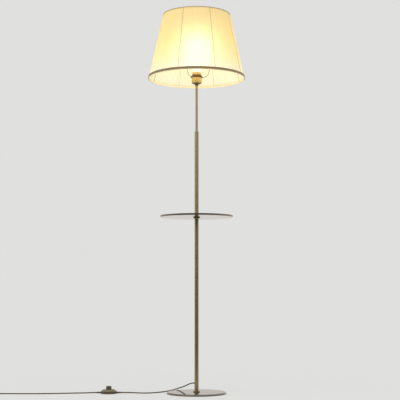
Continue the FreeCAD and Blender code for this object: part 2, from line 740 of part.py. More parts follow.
SWITCH_TO_COIL = [
    (SWITCH_X - BLOCK_END, SWITCH_Y, SWITCH_CORD_Z),
    (SWITCH_X - RELIEF_END - 15, SWITCH_Y, SWITCH_CORD_Z),
    (-452.0, 17.0, FLOOR_CORD_Z),
    (-488.0, 12.5, FLOOR_CORD_Z),
    (-528.0, 4.0, FLOOR_CORD_Z),
    (-570.0, -5.0, FLOOR_CORD_Z),
    (-615.0, -11.0, FLOOR_CORD_Z),
    (-668.0, -13.5, FLOOR_CORD_Z),
    (-724.0, -13.8, FLOOR_CORD_Z),
    (-785.0, -12.5, FLOOR_CORD_Z + 0.3),
    (COIL_X + COIL_CONTACT, COIL_ARRIVAL_Y, FLOOR_CORD_Z + COIL_LIFT),
]


# --- Foot switch ---
BUTTON_HOLE_R = BUTTON_D / 2 + BUTTON_GAP
BUTTON_LIP_Z = SWITCH_H - SWITCH_WALL - BUTTON_LIP_GAP


def at_switch(shape):
    return shape.translated(SWITCH_CENTRE)


def at_screws(make):
    """A shape made at each of the two screws."""
    return Part.Compound([make(0, SCREW_REACH), make(0, -SCREW_REACH)])


def switch_base():
    out_r = SWITCH_D / 2
    in_r = out_r - SWITCH_WALL
    dish = turned(
        (0, 0), (out_r - 1, 0), (out_r, 1), (out_r, SWITCH_BASE_H), (in_r, SWITCH_BASE_H),
        (in_r, SWITCH_FLOOR), (0, SWITCH_FLOOR))
    bosses = at_screws(lambda x, y: disc(BOSS_D / 2 + 1, 0, BOSS_FOOT_Z, x, y))
    sinks = at_screws(lambda x, y: disc(SCREW_HEAD_D / 2 + SCREW_GAP, 0, SCREW_SINK + SCREW_HEAD_T, x, y))
    holes = at_screws(lambda x, y: disc(SCREW_D / 2 + SCREW_GAP, 0, BOSS_FOOT_Z, x, y))
    cord_holes = Part.makeCylinder(
        RELIEF_R, SWITCH_D + 2, FreeCAD.Vector(-out_r - 1, 0, SWITCH_CORD_Z), FreeCAD.Vector(1, 0, 0))
    above_floor = disc(out_r, SWITCH_FLOOR, SWITCH_BASE_H)
    inside = disc(in_r, 0, SWITCH_BASE_H)
    cord_holes = cord_holes.cut(inside).fuse(cord_holes.common(above_floor))
    return at_switch(dish.fuse(bosses).cut(sinks).cut(holes).cut(cord_holes))


def switch_cover():
    out_r = SWITCH_D / 2
    rise = SWITCH_H - SWITCH_BASE_H
    flank = (0.72 * out_r, SWITCH_BASE_H + 0.76 * rise)
    inner_flank = (flank[0] - 0.5 * SWITCH_WALL, flank[1] - 0.87 * SWITCH_WALL)
    dome = turned(
        (out_r, SWITCH_BASE_H), (flank, (BUTTON_HOLE_R, SWITCH_H)),
        (BUTTON_HOLE_R, SWITCH_H - SWITCH_WALL), (inner_flank, (out_r - SWITCH_WALL, SWITCH_BASE_H)))
    # the bosses end halfway into the dome's wall
    middle_r = out_r - SWITCH_WALL / 2
    middle_top = SWITCH_H - SWITCH_WALL / 2
    middle_flank = (0.5 * (flank[0] + inner_flank[0]), 0.5 * (flank[1] + inner_flank[1]))
    room = turned(
        (0, BOSS_FOOT_Z), (middle_r, BOSS_FOOT_Z), (middle_r, SWITCH_BASE_H),
        (middle_flank, (BUTTON_HOLE_R, middle_top)), (0, middle_top))
    bosses = at_screws(lambda x, y: disc(BOSS_D / 2, BOSS_FOOT_Z, SWITCH_H, x, y)).common(room)
    holes = at_screws(lambda x, y: disc(SCREW_D / 2, BOSS_FOOT_Z, SCREW_TOP_Z, x, y))
    return at_switch(dome.fuse(bosses).cut(holes))


def switch_button():
    out_r = BUTTON_D / 2
    in_r = out_r - BUTTON_WALL
    low = BUTTON_LIP_Z - BUTTON_LIP_T
    ceiling = BUTTON_TOP_Z - BUTTON_WALL
    edge_r = out_r - BUTTON_EDGE_R
    edge_z = BUTTON_TOP_Z - BUTTON_EDGE_R
    post_r = BUTTON_POST_D / 2
    post_z = BLOCK_TOP_Z + BUTTON_TRAVEL + BUTTON_GAP
    return at_switch(turned(
        (0, post_z), (post_r, post_z), (post_r, ceiling), (in_r, ceiling), (in_r, low),
        (out_r + BUTTON_FLANGE, low), (out_r + BUTTON_FLANGE, BUTTON_LIP_Z), (out_r, BUTTON_LIP_Z),
        (out_r, edge_z), (shoulder(BUTTON_EDGE_R, edge_r, edge_z), (edge_r, BUTTON_TOP_Z)),
        (0, BUTTON_TOP_Z)))


def switch_spring():
    wire_r = SPRING_WIRE / 2
    low = BLOCK_TOP_Z + wire_r + BUTTON_GAP
    high = BUTTON_TOP_Z - BUTTON_WALL - wire_r - BUTTON_GAP
    last = SPRING_TURNS * SPRING_STEPS
    points = []
    for k in range(last + 1):
        height = low + (high - low) * k / last
        points.append(FreeCAD.Vector(*along(360 * k / SPRING_STEPS, SPRING_D / 2 - wire_r, height)))
    path, radii = rounded_path(points)
    return at_switch(swept(path, wire_r))


def switch_block():
    corner = FreeCAD.Vector(-BLOCK_END, -BLOCK_W / 2, SWITCH_FLOOR)
    return at_switch(Part.makeBox(BLOCK_L, BLOCK_W, BLOCK_TOP_Z - SWITCH_FLOOR, corner))


def switch_contacts():
    """Clamps on both long sides of the block."""
    length, thick, height = CLAMP_BLOCK
    clamps = []
    for y in (-BLOCK_W / 2 - thick, BLOCK_W / 2):
        clamps.append(Part.makeBox(length, thick, height, FreeCAD.Vector(-length / 2, y, SWITCH_FLOOR + 1)))
    return at_switch(Part.Compound(clamps))


def switch_screws():
    head_top = SCREW_SINK + SCREW_HEAD_T
    screw = turned(
        (0, SCREW_SINK), (SCREW_HEAD_D / 2, SCREW_SINK), (SCREW_HEAD_D / 2, head_top),
        (SCREW_D / 2, head_top), (SCREW_D / 2, SCREW_TOP_Z), (0, SCREW_TOP_Z))
    return at_switch(at_screws(lambda x, y: screw.translated(FreeCAD.Vector(x, y, 0))))


def switch_reliefs():
    wall_in = SWITCH_D / 2 - SWITCH_WALL
    flange_r = RELIEF_R + RELIEF_FLANGE_W
    flange_end = wall_in - RELIEF_SEAT_GAP
    flange_start = flange_end - RELIEF_FLANGE_T
    relief = turned(
        (CORD_BORE_R, flange_start), (flange_r, flange_start), (flange_r, flange_end),
        (RELIEF_R, flange_end), (RELIEF_R, SWITCH_D / 2 + 1),
        (CORD_R + RELIEF_TIP_WALL, RELIEF_END), (CORD_BORE_R, RELIEF_END))
    relief.rotate(ORIGIN, FreeCAD.Vector(0, 1, 0), 90)
    relief.translate(FreeCAD.Vector(0, 0, SWITCH_CORD_Z))
    relief = relief.cut(disc(wall_in, -RELIEF_R, SWITCH_FLOOR))
    return at_switch(Part.Compound(about_axis(relief, 2, 0)))


# --- Coil of the spare cord, its tie and the plug ---
TAIL_X = COIL_X - COIL_OUTER_TURN_R
TAIL_Y = COIL_Y + COIL_CONTACT
TAIL_Z = COIL_TOP_Z - CORD_R
PLUG_AXIS_Z = PLUG_T / 2
RELIEF_START_Y = TAIL_Y + TAIL_L
PLUG_Y = RELIEF_START_Y + PLUG_RELIEF_L
PLUG_X = TAIL_X - 2

COIL_TO_PLUG = [
    (TAIL_X, TAIL_Y, TAIL_Z),
    (PLUG_X, TAIL_Y + 0.5 * TAIL_L, PLUG_AXIS_Z),
    (PLUG_X, RELIEF_START_Y, PLUG_AXIS_Z),
]


def cord_coil():
    ring = sleeve(COIL_OUT_R, COIL_IN_R, COIL_LIFT, COIL_TOP_Z)
    return ring.makeFillet(0.95 * CORD_R, ring.Edges).translated(COIL_CENTRE)


def coil_room():
    """Space that the coil takes, at which the cords beside it end."""
    return disc(COIL_OUT_R, 0, COIL_TOP_Z + CORD_D).translated(COIL_CENTRE)


def cord_tie():
    """Flat band wrapped once around the coil's turns."""
    near = COIL_IN_R - TIE_GAP - TIE_W ** 2 / (8 * COIL_IN_R)
    far = COIL_OUT_R + TIE_GAP
    low = COIL_LIFT - TIE_GAP
    high = COIL_TOP_Z + TIE_GAP
    outer = Part.makeBox(
        far - near + 2 * TIE_T, TIE_W, high - low + 2 * TIE_T,
        FreeCAD.Vector(near - TIE_T, -TIE_W / 2, low - TIE_T))
    outer = outer.makeFillet(1.2, [e for e in outer.Edges if abs(e.tangentAt(0).y) > 0.9])
    hole = Part.makeBox(far - near, TIE_W, high - low, FreeCAD.Vector(near, -TIE_W / 2, low))
    band = outer.cut(hole)
    band.rotate(ORIGIN, Z_AXIS, TIE_DEG)
    return band.translated(COIL_CENTRE)


def pin_places():
    return [(-PIN_PITCH / 2, PLUG_L), (PIN_PITCH / 2, PLUG_L)]


def at_plug(shape):
    return shape.translated(FreeCAD.Vector(PLUG_X, PLUG_Y, PLUG_AXIS_Z))


def plug_pin(x, root):
    pin = Part.makeCylinder(PIN_D / 2, PIN_ROOT + PIN_L, FreeCAD.Vector(x, root - PIN_ROOT, 0),
                            FreeCAD.Vector(0, 1, 0))
    tip = [edge for edge in pin.Edges if edge.BoundBox.YMin > root + PIN_L - 0.1]
    return pin.makeFillet(PIN_D / 4, tip)


def plug_pins():
    return at_plug(Part.Compound([plug_pin(x, root) for x, root in pin_places()]))


def plug_body():
    half = [(PLUG_NECK_W / 2, 0), (PLUG_W / 2, 0.34 * PLUG_L), (PLUG_W / 2, 0.78 * PLUG_L),
            (PLUG_FACE_W / 2, PLUG_L)]
    around = half + [(-x, y) for x, y in reversed(half)]
    outline = Part.makePolygon([FreeCAD.Vector(x, y, -PLUG_T / 2) for x, y in around + around[:1]])
    body = Part.Face(outline).extrude(FreeCAD.Vector(0, 0, PLUG_T))
    body = body.makeFillet(PLUG_EDGE_R, body.Edges)
    relief = Part.makeCone(
        CORD_R + PLUG_RELIEF_TIP_WALL, CORD_R + PLUG_RELIEF_WALL, PLUG_RELIEF_L + 1,
        FreeCAD.Vector(0, -PLUG_RELIEF_L, 0), FreeCAD.Vector(0, 1, 0))
    body = body.fuse(relief)
    for x, root in pin_places():
        body = body.cut(plug_pin(x, root))
    return at_plug(body)


def main():
    nodes = {
        "base_pad": base_pad(),
        "base_cover": base_cover(),
        "base_weight": base_weight(),
        "base_washer": base_washer(),
        "base_nut": base_nut(),
        "base_nipple": base_nipple(),
        "base_collar": base_collar(),
        "column_tube_lower": column_tube_lower(),
        "column_tube_middle": column_tube(MIDDLE_Z),
        "column_tube_upper": column_tube(UPPER_Z),
        "column_inserts": column_inserts(),
        "column_joiner": nipple(MIDDLE_Z, MIDDLE_Z),
        "tray_joiner": nipple(TRAY_COLLAR_Z, UPPER_Z),
        "tray_collar": collar(TRAY_COLLAR_Z, TRAY_Z),
        "table_tray": table_tray(),
        "tray_washer": tray_washer(),
        "column_cap": column_cap(),
        "stem_tube": stem_tube(),
        "holder_cup": holder_cup(),
        "holder_core": holder_core(),
        "holder_screw_shell": holder_screw_shell(),
        "holder_contacts": holder_contacts(),
        "holder_sleeve": holder_sleeve(),
        "bulb_contact": bulb_contact(),
        "bulb_cap": bulb_cap(),
        "bulb_globe": bulb_globe(),
        "carrier_ring": carrier_ring(),
        "carrier_arms": carrier_arms(),
        "shade_clamp_ring": shade_clamp_ring(),
        "shade_top_ring": shade_ring(RING_HIGH_Z),
        "shade_bottom_ring": shade_ring(RING_LOW_Z),
        "shade_ribs": shade_ribs(),
        "shade_fabric": shade_fabric(),
        "shade_bottom_braid": shade_bottom_braid(),
        "shade_top_piping": shade_top_piping(),
        "cord_bushing": cord_bushing(),
        "inner_lead": inner_lead(),
        "cord_to_switch": cord_tube("cord_to_switch", LAMP_TO_SWITCH),
        "switch_base": switch_base(),
        "switch_cover": switch_cover(),
        "switch_button": switch_button(),
        "switch_spring": switch_spring(),
        "switch_block": switch_block(),
        "switch_contacts": switch_contacts(),
        "switch_screws": switch_screws(),
        "switch_reliefs": switch_reliefs(),
        "cord_to_coil": cord_tube("cord_to_coil", SWITCH_TO_COIL).cut(coil_room()),
        "cord_coil": cord_coil(),
        "cord_tie": cord_tie(),
        "cord_tail": cord_tube("cord_tail", COIL_TO_PLUG).cut(coil_room()),
        "plug_body": plug_body(),
        "plug_pins": plug_pins(),
    }
    os.makedirs("parts", exist_ok=True)
    for name, shape in nodes.items():
        shape.exportStep(f"parts/{name}.step")
        print(name, len(shape.Solids), "valid" if shape.isValid() else "NOT VALID", round(shape.Volume))


main()
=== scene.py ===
import json
import math
import random

import bpy
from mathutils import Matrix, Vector


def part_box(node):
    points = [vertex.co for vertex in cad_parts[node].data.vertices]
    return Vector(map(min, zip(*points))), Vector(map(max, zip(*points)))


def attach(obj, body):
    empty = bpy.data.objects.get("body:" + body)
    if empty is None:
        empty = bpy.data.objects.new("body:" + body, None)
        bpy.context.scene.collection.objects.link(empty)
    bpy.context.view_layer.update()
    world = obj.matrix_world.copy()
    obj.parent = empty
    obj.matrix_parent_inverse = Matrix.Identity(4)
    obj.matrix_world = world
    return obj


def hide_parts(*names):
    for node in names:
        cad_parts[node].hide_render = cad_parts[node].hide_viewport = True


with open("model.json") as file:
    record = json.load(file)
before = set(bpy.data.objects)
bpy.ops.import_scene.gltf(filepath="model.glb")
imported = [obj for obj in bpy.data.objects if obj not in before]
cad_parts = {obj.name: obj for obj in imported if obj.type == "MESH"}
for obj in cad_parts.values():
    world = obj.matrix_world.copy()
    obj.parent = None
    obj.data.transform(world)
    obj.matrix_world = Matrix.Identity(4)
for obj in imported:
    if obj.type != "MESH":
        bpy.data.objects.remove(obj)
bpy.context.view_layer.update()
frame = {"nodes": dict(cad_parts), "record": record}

# Lengths are in metres. The shade hangs round the Z axis, the front is towards -Y.

# --- Camera: the photograph's place, tilted up a little ---
CAMERA_PLACE = (0, -4.204, 0.4194)
CAMERA_TILT = 0.08662        # radians
CAMERA_TURN = -0.0033
SENSOR_W = 36                # millimetres, like the lens
LENS = 92.71

# --- Pale floor and studio ---
BACKGROUND = (0.745, 0.745, 0.730)
FLOOR_COLOUR = (0.81, 0.81, 0.795)
FLOOR_R = 60.0
FLOOR_SIDES = 48
FLOOR_NEAR = 0.6             # share of plain background in the floor round the base
FLOOR_FADE = (0.25, 1.2)     # from here to here the floor turns into plain background
# levels that metal mirrors, against the background
FRONT_DARK = 0.15            # low in front of the lamp
FRONT_HIGH = 1.45            # high in front, where the studio's lights are
FLOOR_BEHIND = 1.15
WORLD_BEHIND = 1.03
SIDE_LEVELS = (1.25, 0.80)   # left and right, times the front's level
# where those levels change: on the floor in metres, in the world as part of a direction
FLOOR_EDGE = (-0.7, -0.1)
FRONT_RISE = (0.06, 0.30)
SIDE_SPAN = (-0.70, 0.60)
BACK_SPAN = (-0.80, 0.10)

# --- Lights ---
SOFT_LIGHTS = {              # place and watts
    "soft_left": ((-2.6, -2.4, 3.0), 34),
    "soft_right": ((2.8, -1.6, 2.4), 21)}
SOFT_AIM = (0, 0, 0.8)
SOFT_D = 2.2
GLOW_PLACE = (0, 0, 1.42)    # light that spreads from the bulb up the shade
GLOW_R = 0.025
GLOW_LIGHT = 0.75            # watts
GLOW_COLOUR = (1.0, 0.97, 0.95)
BULB_LIGHT = 8.0

# --- Grain, and painted shade towards the floor ---
NOISE_SPAN = (0.3, 0.7)      # noise lies between these, near enough
METAL_PATCHES = 7.0
PLASTIC_PATCHES = 40.0
FINE_GRAIN = 0.0002          # height of the grain
PLASTIC_GRAIN = 0.0003
FLOOR_SHADE_TO = 0.95               # painted shade: height up to which a column darkens towards the floor

# --- Cloth and the wires behind it ---
PLEATS = 190
PLEAT_DEPTH = 0.0019
PLEAT_PROFILE = (            # place within a pleat, reach outwards, shade in the fold
    (0.0, 0.0, 1.0), (0.10, 0.80, 0.75), (0.24, 1.0, 0.15), (0.58, 0.62, 0.0), (0.88, 0.16, 0.55))
PLEAT_SHIFT = 0.16           # how unevenly the pleats stand, in pleats
PLEAT_LEAST = 0.75           # depth of the shallowest pleat
PLEAT_SWAY = 0.05            # how far a pleat wanders on its way up
PLEAT_WAVES = 3.0
PLEAT_SEED = 7
CLOTH_ROWS = 28              # on each side of the cloth
CLOTH_FOOT = 0.0001          # the cloth's ends above the CAD cone's ends
CLOTH_HEAD = 0.0006
SKIN = 0.0004                # thickness of the cloth
RIBS = 8
RIB_START = math.radians(22.5)
RIB_SHADE = 0.50             # light left where a wire stands behind the cloth
RIB_BAND = (0.0006, 0.0022)  # from here to here beside the wire its shade fades

# --- Trims ---
TWIST_SIDES = 10
TWIST_STEPS = 10             # in each turn of the twist
TWIST_DEPTH = 0.16           # of the cord's radius
LOWER_CORD = {"cord_r": 0.0014, "turns": 170, "contrast": 0.35}
LOWER_CORD_OUT = 0.0013      # middle outside the cloth
LOWER_CORD_UP = 0.0021       # middle above the braid's lower edge
UPPER_CORD = {"cord_r": 0.0018, "turns": 150}
UPPER_CORD_OUT = 0.0016
UPPER_CORD_DOWN = 0.0017
PIPING_TURNS = 150
WEAVES = 150
WEAVE_STEPS = 10
WEAVE_SLANT = 0.9
BAND_ROWS = 9
BAND_FOOT = 0.0022           # band's ends inside the braid's ends
BAND_HEAD = 0.0030
BAND_OUT = 0.0005            # band outside the cloth
BAND_RELIEF = 0.0004
BAND_SHADES = (0.55, 0.45)   # middle of the band's colour, and swing of its painted shade in the weave's hollows

# --- Foot switch's spring ---
SPRING_WIRE = 0.0009
SPRING_TURNS = 4
SPRING_STEPS = 24            # in each turn
SPRING_SIDES = 8
BUTTON_TRAVEL = 0.004

# --- Cords: points along each, from the lamp outwards ---
CORD_D = 0.0048
LAMP_TO_SWITCH = [
    (-0.01146, 0.01700, 0.0420), (-0.0200, 0.0295, 0.0406), (-0.0340, 0.0500, 0.0336),
    (-0.0490, 0.0730, 0.0242), (-0.0645, 0.0960, 0.0168), (-0.0785, 0.1095, 0.0115),
    (-0.0980, 0.1125, 0.0044), (-0.1170, 0.0940, 0.0024), (-0.1380, 0.0600, 0.0024),
    (-0.1660, 0.0270, 0.0024), (-0.2020, 0.0090, 0.0024), (-0.2380, 0.0170, 0.0024),
    (-0.2660, 0.0280, 0.0030), (-0.2920, 0.0140, 0.0045), (-0.3420, 0.0140, 0.0045)]
SWITCH_TO_COIL = [
    (-0.3680, 0.0140, 0.0045), (-0.4200, 0.0140, 0.0045), (-0.4520, 0.0170, 0.0024),
    (-0.4880, 0.0125, 0.0024), (-0.5280, 0.0040, 0.0024), (-0.5700, -0.0050, 0.0024),
    (-0.6150, -0.0110, 0.0024), (-0.6680, -0.0135, 0.0024), (-0.7240, -0.0138, 0.0024),
    (-0.7850, -0.0125, 0.0027), (-0.8250, -0.0116, 0.0033)]
COIL_TO_PLUG = [
    (-0.8773, 0.0333, 0.00762), (-0.8793, 0.0483, 0.0068), (-0.8793, 0.0633, 0.0068),
    (-0.8793, 0.0800, 0.0068)]
COIL_CENTRE = (-0.8460, 0.0198)
COIL_RADII = (0.0313, 0.0265, 0.0217, 0.0217, 0.0265, 0.0313)
COIL_LOW, COIL_HIGH = 0.0033, 0.00762
LOWER_TURNS = 3
COIL_TURNS = 5.25
COIL_START = math.radians(270)
COIL_STEPS = 16              # points in each turn
CROSS_FROM = 0.75            # part of a turn after which it moves over to the next one's place


def add_object(name, data):
    made = bpy.data.objects.new(name, data)
    bpy.context.scene.collection.objects.link(made)
    return made


def round_axis(radius, angle, z, centre=(0, 0)):
    return centre[0] + radius * math.cos(angle), centre[1] + radius * math.sin(angle), z


def make_camera():
    data = bpy.data.cameras.new("camera")
    data.sensor_width = SENSOR_W
    data.lens = LENS
    camera = add_object("camera", data)
    camera.location = CAMERA_PLACE
    camera.rotation_euler = (math.pi / 2 + CAMERA_TILT, 0, CAMERA_TURN)
    bpy.context.scene.camera = camera


# --- Material tools ---
class Nodes:
    """A node tree, of a material or of the world."""

    def __init__(self, tree):
        self.tree = tree
        self.coords = self.add("ShaderNodeTexCoord")

    def add(self, kind, **settings):
        node = self.tree.nodes.new(kind)
        for key, value in settings.items():
            setattr(node, key, value)
        return node

    def link(self, output, target):
        self.tree.links.new(output, target)

    def split(self, coordinates="Object"):
        """The X, Y and Z of a kind of coordinates."""
        node = self.add("ShaderNodeSeparateXYZ")
        self.link(self.coords.outputs[coordinates], node.inputs[0])
        return node.outputs

    def height_in(self, node):
        """Height within a CAD node's box, from 0 to 1."""
        low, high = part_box(node)
        return self.spread(self.split()["Z"], 0.0, 1.0, low[2], high[2])

    def length(self, vector):
        node = self.add("ShaderNodeVectorMath", operation="LENGTH")
        self.link(vector, node.inputs[0])
        return node.outputs["Value"]

    def noise(self, scale, detail, stretch=(1, 1, 1)):
        mapping = self.add("ShaderNodeMapping")
        mapping.inputs["Scale"].default_value = stretch
        self.link(self.coords.outputs["Object"], mapping.inputs["Vector"])
        node = self.add("ShaderNodeTexNoise")
        node.inputs["Scale"].default_value = scale
        node.inputs["Detail"].default_value = detail
        node.inputs["Roughness"].default_value = 0.55
        self.link(mapping.outputs["Vector"], node.inputs["Vector"])
        return node.outputs["Fac"]

    def ramp(self, factor, *stops):
        """Colours along a factor: stops are (position, (r, g, b))."""
        node = self.add("ShaderNodeValToRGB")
        elements = node.color_ramp.elements
        while len(elements) < len(stops):
            elements.new(0.5)
        for element, (position, colour) in zip(elements, stops):
            element.position = position
            element.color = (*colour, 1)
        self.link(factor, node.inputs["Fac"])
        return node.outputs["Color"]

    def spread(self, factor, low, high, from_low=0.0, from_high=1.0, shape="LINEAR"):
        """A factor moved to another range."""
        node = self.add("ShaderNodeMapRange", interpolation_type=shape)
        node.inputs["From Min"].default_value = from_low
        node.inputs["From Max"].default_value = from_high
        node.inputs["To Min"].default_value = low
        node.inputs["To Max"].default_value = high
        self.link(factor, node.inputs["Value"])
        return node.outputs["Result"]

    def eased(self, factor, low, high, span):
        return self.spread(factor, low, high, *span, shape="SMOOTHSTEP")

    def math(self, operation, first, second=None, clamp=False):
        node = self.add("ShaderNodeMath", operation=operation, use_clamp=clamp)
        for slot, value in enumerate((first, second)):
            if isinstance(value, (int, float)):
                node.inputs[slot].default_value = value
            elif value is not None:
                self.link(value, node.inputs[slot])
        return node.outputs["Value"]

    def times(self, first, *others):
        for other in others:
            first = self.math("MULTIPLY", first, other)
        return first

    def tinted(self, colour, factor):
        """A colour times a grey factor."""
        node = self.add("ShaderNodeMix", data_type="RGBA", blend_type="MULTIPLY")
        node.inputs["Factor"].default_value = 1.0
        self.link(colour, node.inputs["A"])
        self.link(factor, node.inputs["B"])
        return node.outputs["Result"]

    def attribute(self, name):
        return self.add("ShaderNodeAttribute", attribute_name=name).outputs["Fac"]


class Material(Nodes):
    """A material with one Principled shader."""

    def __init__(self, name, **sockets):
        self.material = bpy.data.materials.new(name)
        self.material.use_nodes = True
        super().__init__(self.material.node_tree)
        self.shader = self.tree.nodes["Principled BSDF"]
        for socket, value in sockets.items():
            self.shader.inputs[socket.replace("_", " ")].default_value = value

    def set(self, socket, output):
        self.link(output, self.shader.inputs[socket])

    def bump(self, height, strength, distance=FINE_GRAIN):
        node = self.add("ShaderNodeBump")
        node.inputs["Strength"].default_value = strength
        node.inputs["Distance"].default_value = distance
        self.link(height, node.inputs["Height"])
        self.set("Normal", node.outputs["Normal"])


def metal(name, light, dark, smooth, rough, grain=(1, 1, 1), scale=60.0, bump=0.0,
          edge=(1, 1, 1), low=None):
    """Metal whose colour and polish wander a little; low is how dark its painted shade is at the
    floor, where the metal mirrors the dark floor.
    """
    nodes = Material(name, Metallic=1.0, Specular_Tint=(*edge, 1))
    fine = nodes.noise(scale, 4, grain)
    colour = nodes.ramp(nodes.noise(METAL_PATCHES, 2), (0.3, dark), (0.7, light))
    # painted shade: the colour darkens towards the floor, standing in for the dark floor mirrored low
    # down
    if low:
        colour = nodes.tinted(colour, nodes.spread(nodes.split()["Z"], low, 1.0, 0.0, FLOOR_SHADE_TO))
    nodes.set("Base Color", colour)
    nodes.set("Roughness", nodes.spread(fine, smooth, rough, *NOISE_SPAN))
    if bump:
        nodes.bump(fine, bump)
    return nodes.material


def moulded(name, light, dark, smooth, rough, scale=900.0, bump=0.12, **sockets):
    """Moulded plastic or paint with a fine grain."""
    nodes = Material(name, **sockets)
    grain = nodes.noise(scale, 2)
    broad = nodes.noise(PLASTIC_PATCHES, 3)
    nodes.set("Base Color", nodes.ramp(broad, (0.35, dark), (0.65, light)))
    nodes.set("Roughness", nodes.spread(grain, smooth, rough, *NOISE_SPAN))
    nodes.bump(grain, bump, PLASTIC_GRAIN)
    return nodes.material


def rib_shade(nodes):
    """How much light the wires behind the cloth leave, at even angles round the shade."""
    place = nodes.split()
    step = 2 * math.pi / RIBS
    angle = nodes.math("ARCTAN2", place["Y"], place["X"])
    steps = nodes.math("DIVIDE", nodes.math("ADD", angle, math.pi + step / 2 - RIB_START), step)
    aside = nodes.math("ABSOLUTE", nodes.math("SUBTRACT", nodes.math("FRACT", steps), 0.5))
    flat = nodes.add("ShaderNodeCombineXYZ")
    nodes.link(place["X"], flat.inputs["X"])
    nodes.link(place["Y"], flat.inputs["Y"])
    beside = nodes.times(aside, step, nodes.length(flat.outputs["Vector"]))
    return nodes.spread(beside, RIB_SHADE, 1.0, *RIB_BAND)


def lit_cloth(name):
    """Cream pleated cloth with painted light: the bulb's glow through it is painted in by height, with
    painted shadows of the wires and painted shade in the folds.
    """
    nodes = Material(name, Roughness=0.88, IOR=1.45, Transmission_Weight=0.85,
                     Specular_IOR_Level=0.0, Emission_Strength=1.0)
    fold = nodes.attribute("fold")
    inside = nodes.attribute("inside")
    thread = nodes.noise(900.0, 2, (1, 1, 0.12))
    # painted shade: the cream is darker in the folds
    cream_with_fold_shade = nodes.ramp(fold, (0.0, (0.63, 0.53, 0.39)), (1.0, (0.52, 0.43, 0.30)))
    height = nodes.height_in("shade_fabric")
    # painted light: the bulb's glow through the cloth, outside and inside, by height up the shade
    through = nodes.ramp(
        height, (0.0, (0.25, 0.30, 0.31)), (0.25, (0.25, 0.26, 0.11)),
        (0.50, (0.235, 0.205, 0.02)), (0.75, (0.225, 0.155, 0.0)), (1.0, (0.195, 0.13, 0.0)))
    lit = nodes.ramp(
        height, (0.0, (0.42, 0.37, 0.18)), (0.07, (0.43, 0.42, 0.29)), (0.5, (0.45, 0.44, 0.31)))
    # painted shadows of the wires behind the cloth
    shade = rib_shade(nodes)
    outside = nodes.math("MAXIMUM", shade, inside)
    grey = nodes.times(nodes.spread(thread, 0.95, 1.04, *NOISE_SPAN), outside)
    nodes.set("Base Color", nodes.tinted(cream_with_fold_shade, grey))
    # painted shade: the glow is dimmer in the folds
    folds = nodes.spread(fold, 1.05, 0.84)
    weave_and_fold_shade = nodes.times(folds, nodes.spread(thread, 0.97, 1.03, *NOISE_SPAN))
    sides = nodes.add("ShaderNodeMix", data_type="RGBA")
    nodes.link(inside, sides.inputs["Factor"])
    nodes.link(nodes.tinted(through, nodes.times(shade, weave_and_fold_shade)), sides.inputs["A"])
    nodes.link(nodes.tinted(lit, weave_and_fold_shade), sides.inputs["B"])
    nodes.set("Emission Color", sides.outputs["Result"])
    nodes.bump(thread, 0.2)
    return nodes.material


def trim_cloth(name, light, dark):
    """Twisted or woven trim with painted shade: its colour is darker in the hollows between its
    strands, following the twist.
    """
    nodes = Material(name, Roughness=0.75, Sheen_Weight=0.3)
    thread = nodes.noise(1500.0, 2)
    colour = nodes.ramp(nodes.attribute("hollow_shade"), (0.30, dark), (0.80, light))
    nodes.set("Base Color", nodes.tinted(colour, nodes.spread(thread, 0.85, 1.12, *NOISE_SPAN)))
    nodes.bump(thread, 0.3)
    return nodes.material


def cup_brass(name):
    """Brass cup with a painted reflection: its rounded bottom is painted dark, for the dark room below
    that it mirrors.
    """
    nodes = Material(name, Metallic=1.0)
    # painted reflection: dark low on the cup, bright above
    nodes.set("Base Color", nodes.ramp(
        nodes.height_in("holder_cup"), (0.0, (0.10, 0.07, 0.03)), (0.24, (0.14, 0.10, 0.04)),
        (0.36, (0.68, 0.49, 0.21)), (1.0, (0.76, 0.56, 0.26))))
    grain = nodes.noise(120.0, 4)
    nodes.set("Roughness", nodes.spread(grain, 0.24, 0.34, *NOISE_SPAN))
    nodes.bump(grain, 0.04)
    return nodes.material


def lit_glass(name):
    """Opal bulb: its round crown shines, and the neck much less."""
    nodes = Material(name, Roughness=0.25, Base_Color=(0.9, 0.88, 0.82, 1),
                     Emission_Strength=BULB_LIGHT)
    nodes.set("Emission Color", nodes.ramp(
        nodes.height_in("bulb_globe"), (0.0, (0.06, 0.045, 0.03)), (0.25, (0.12, 0.11, 0.09)),
        (0.6, GLOW_COLOUR)))
    return nodes.material


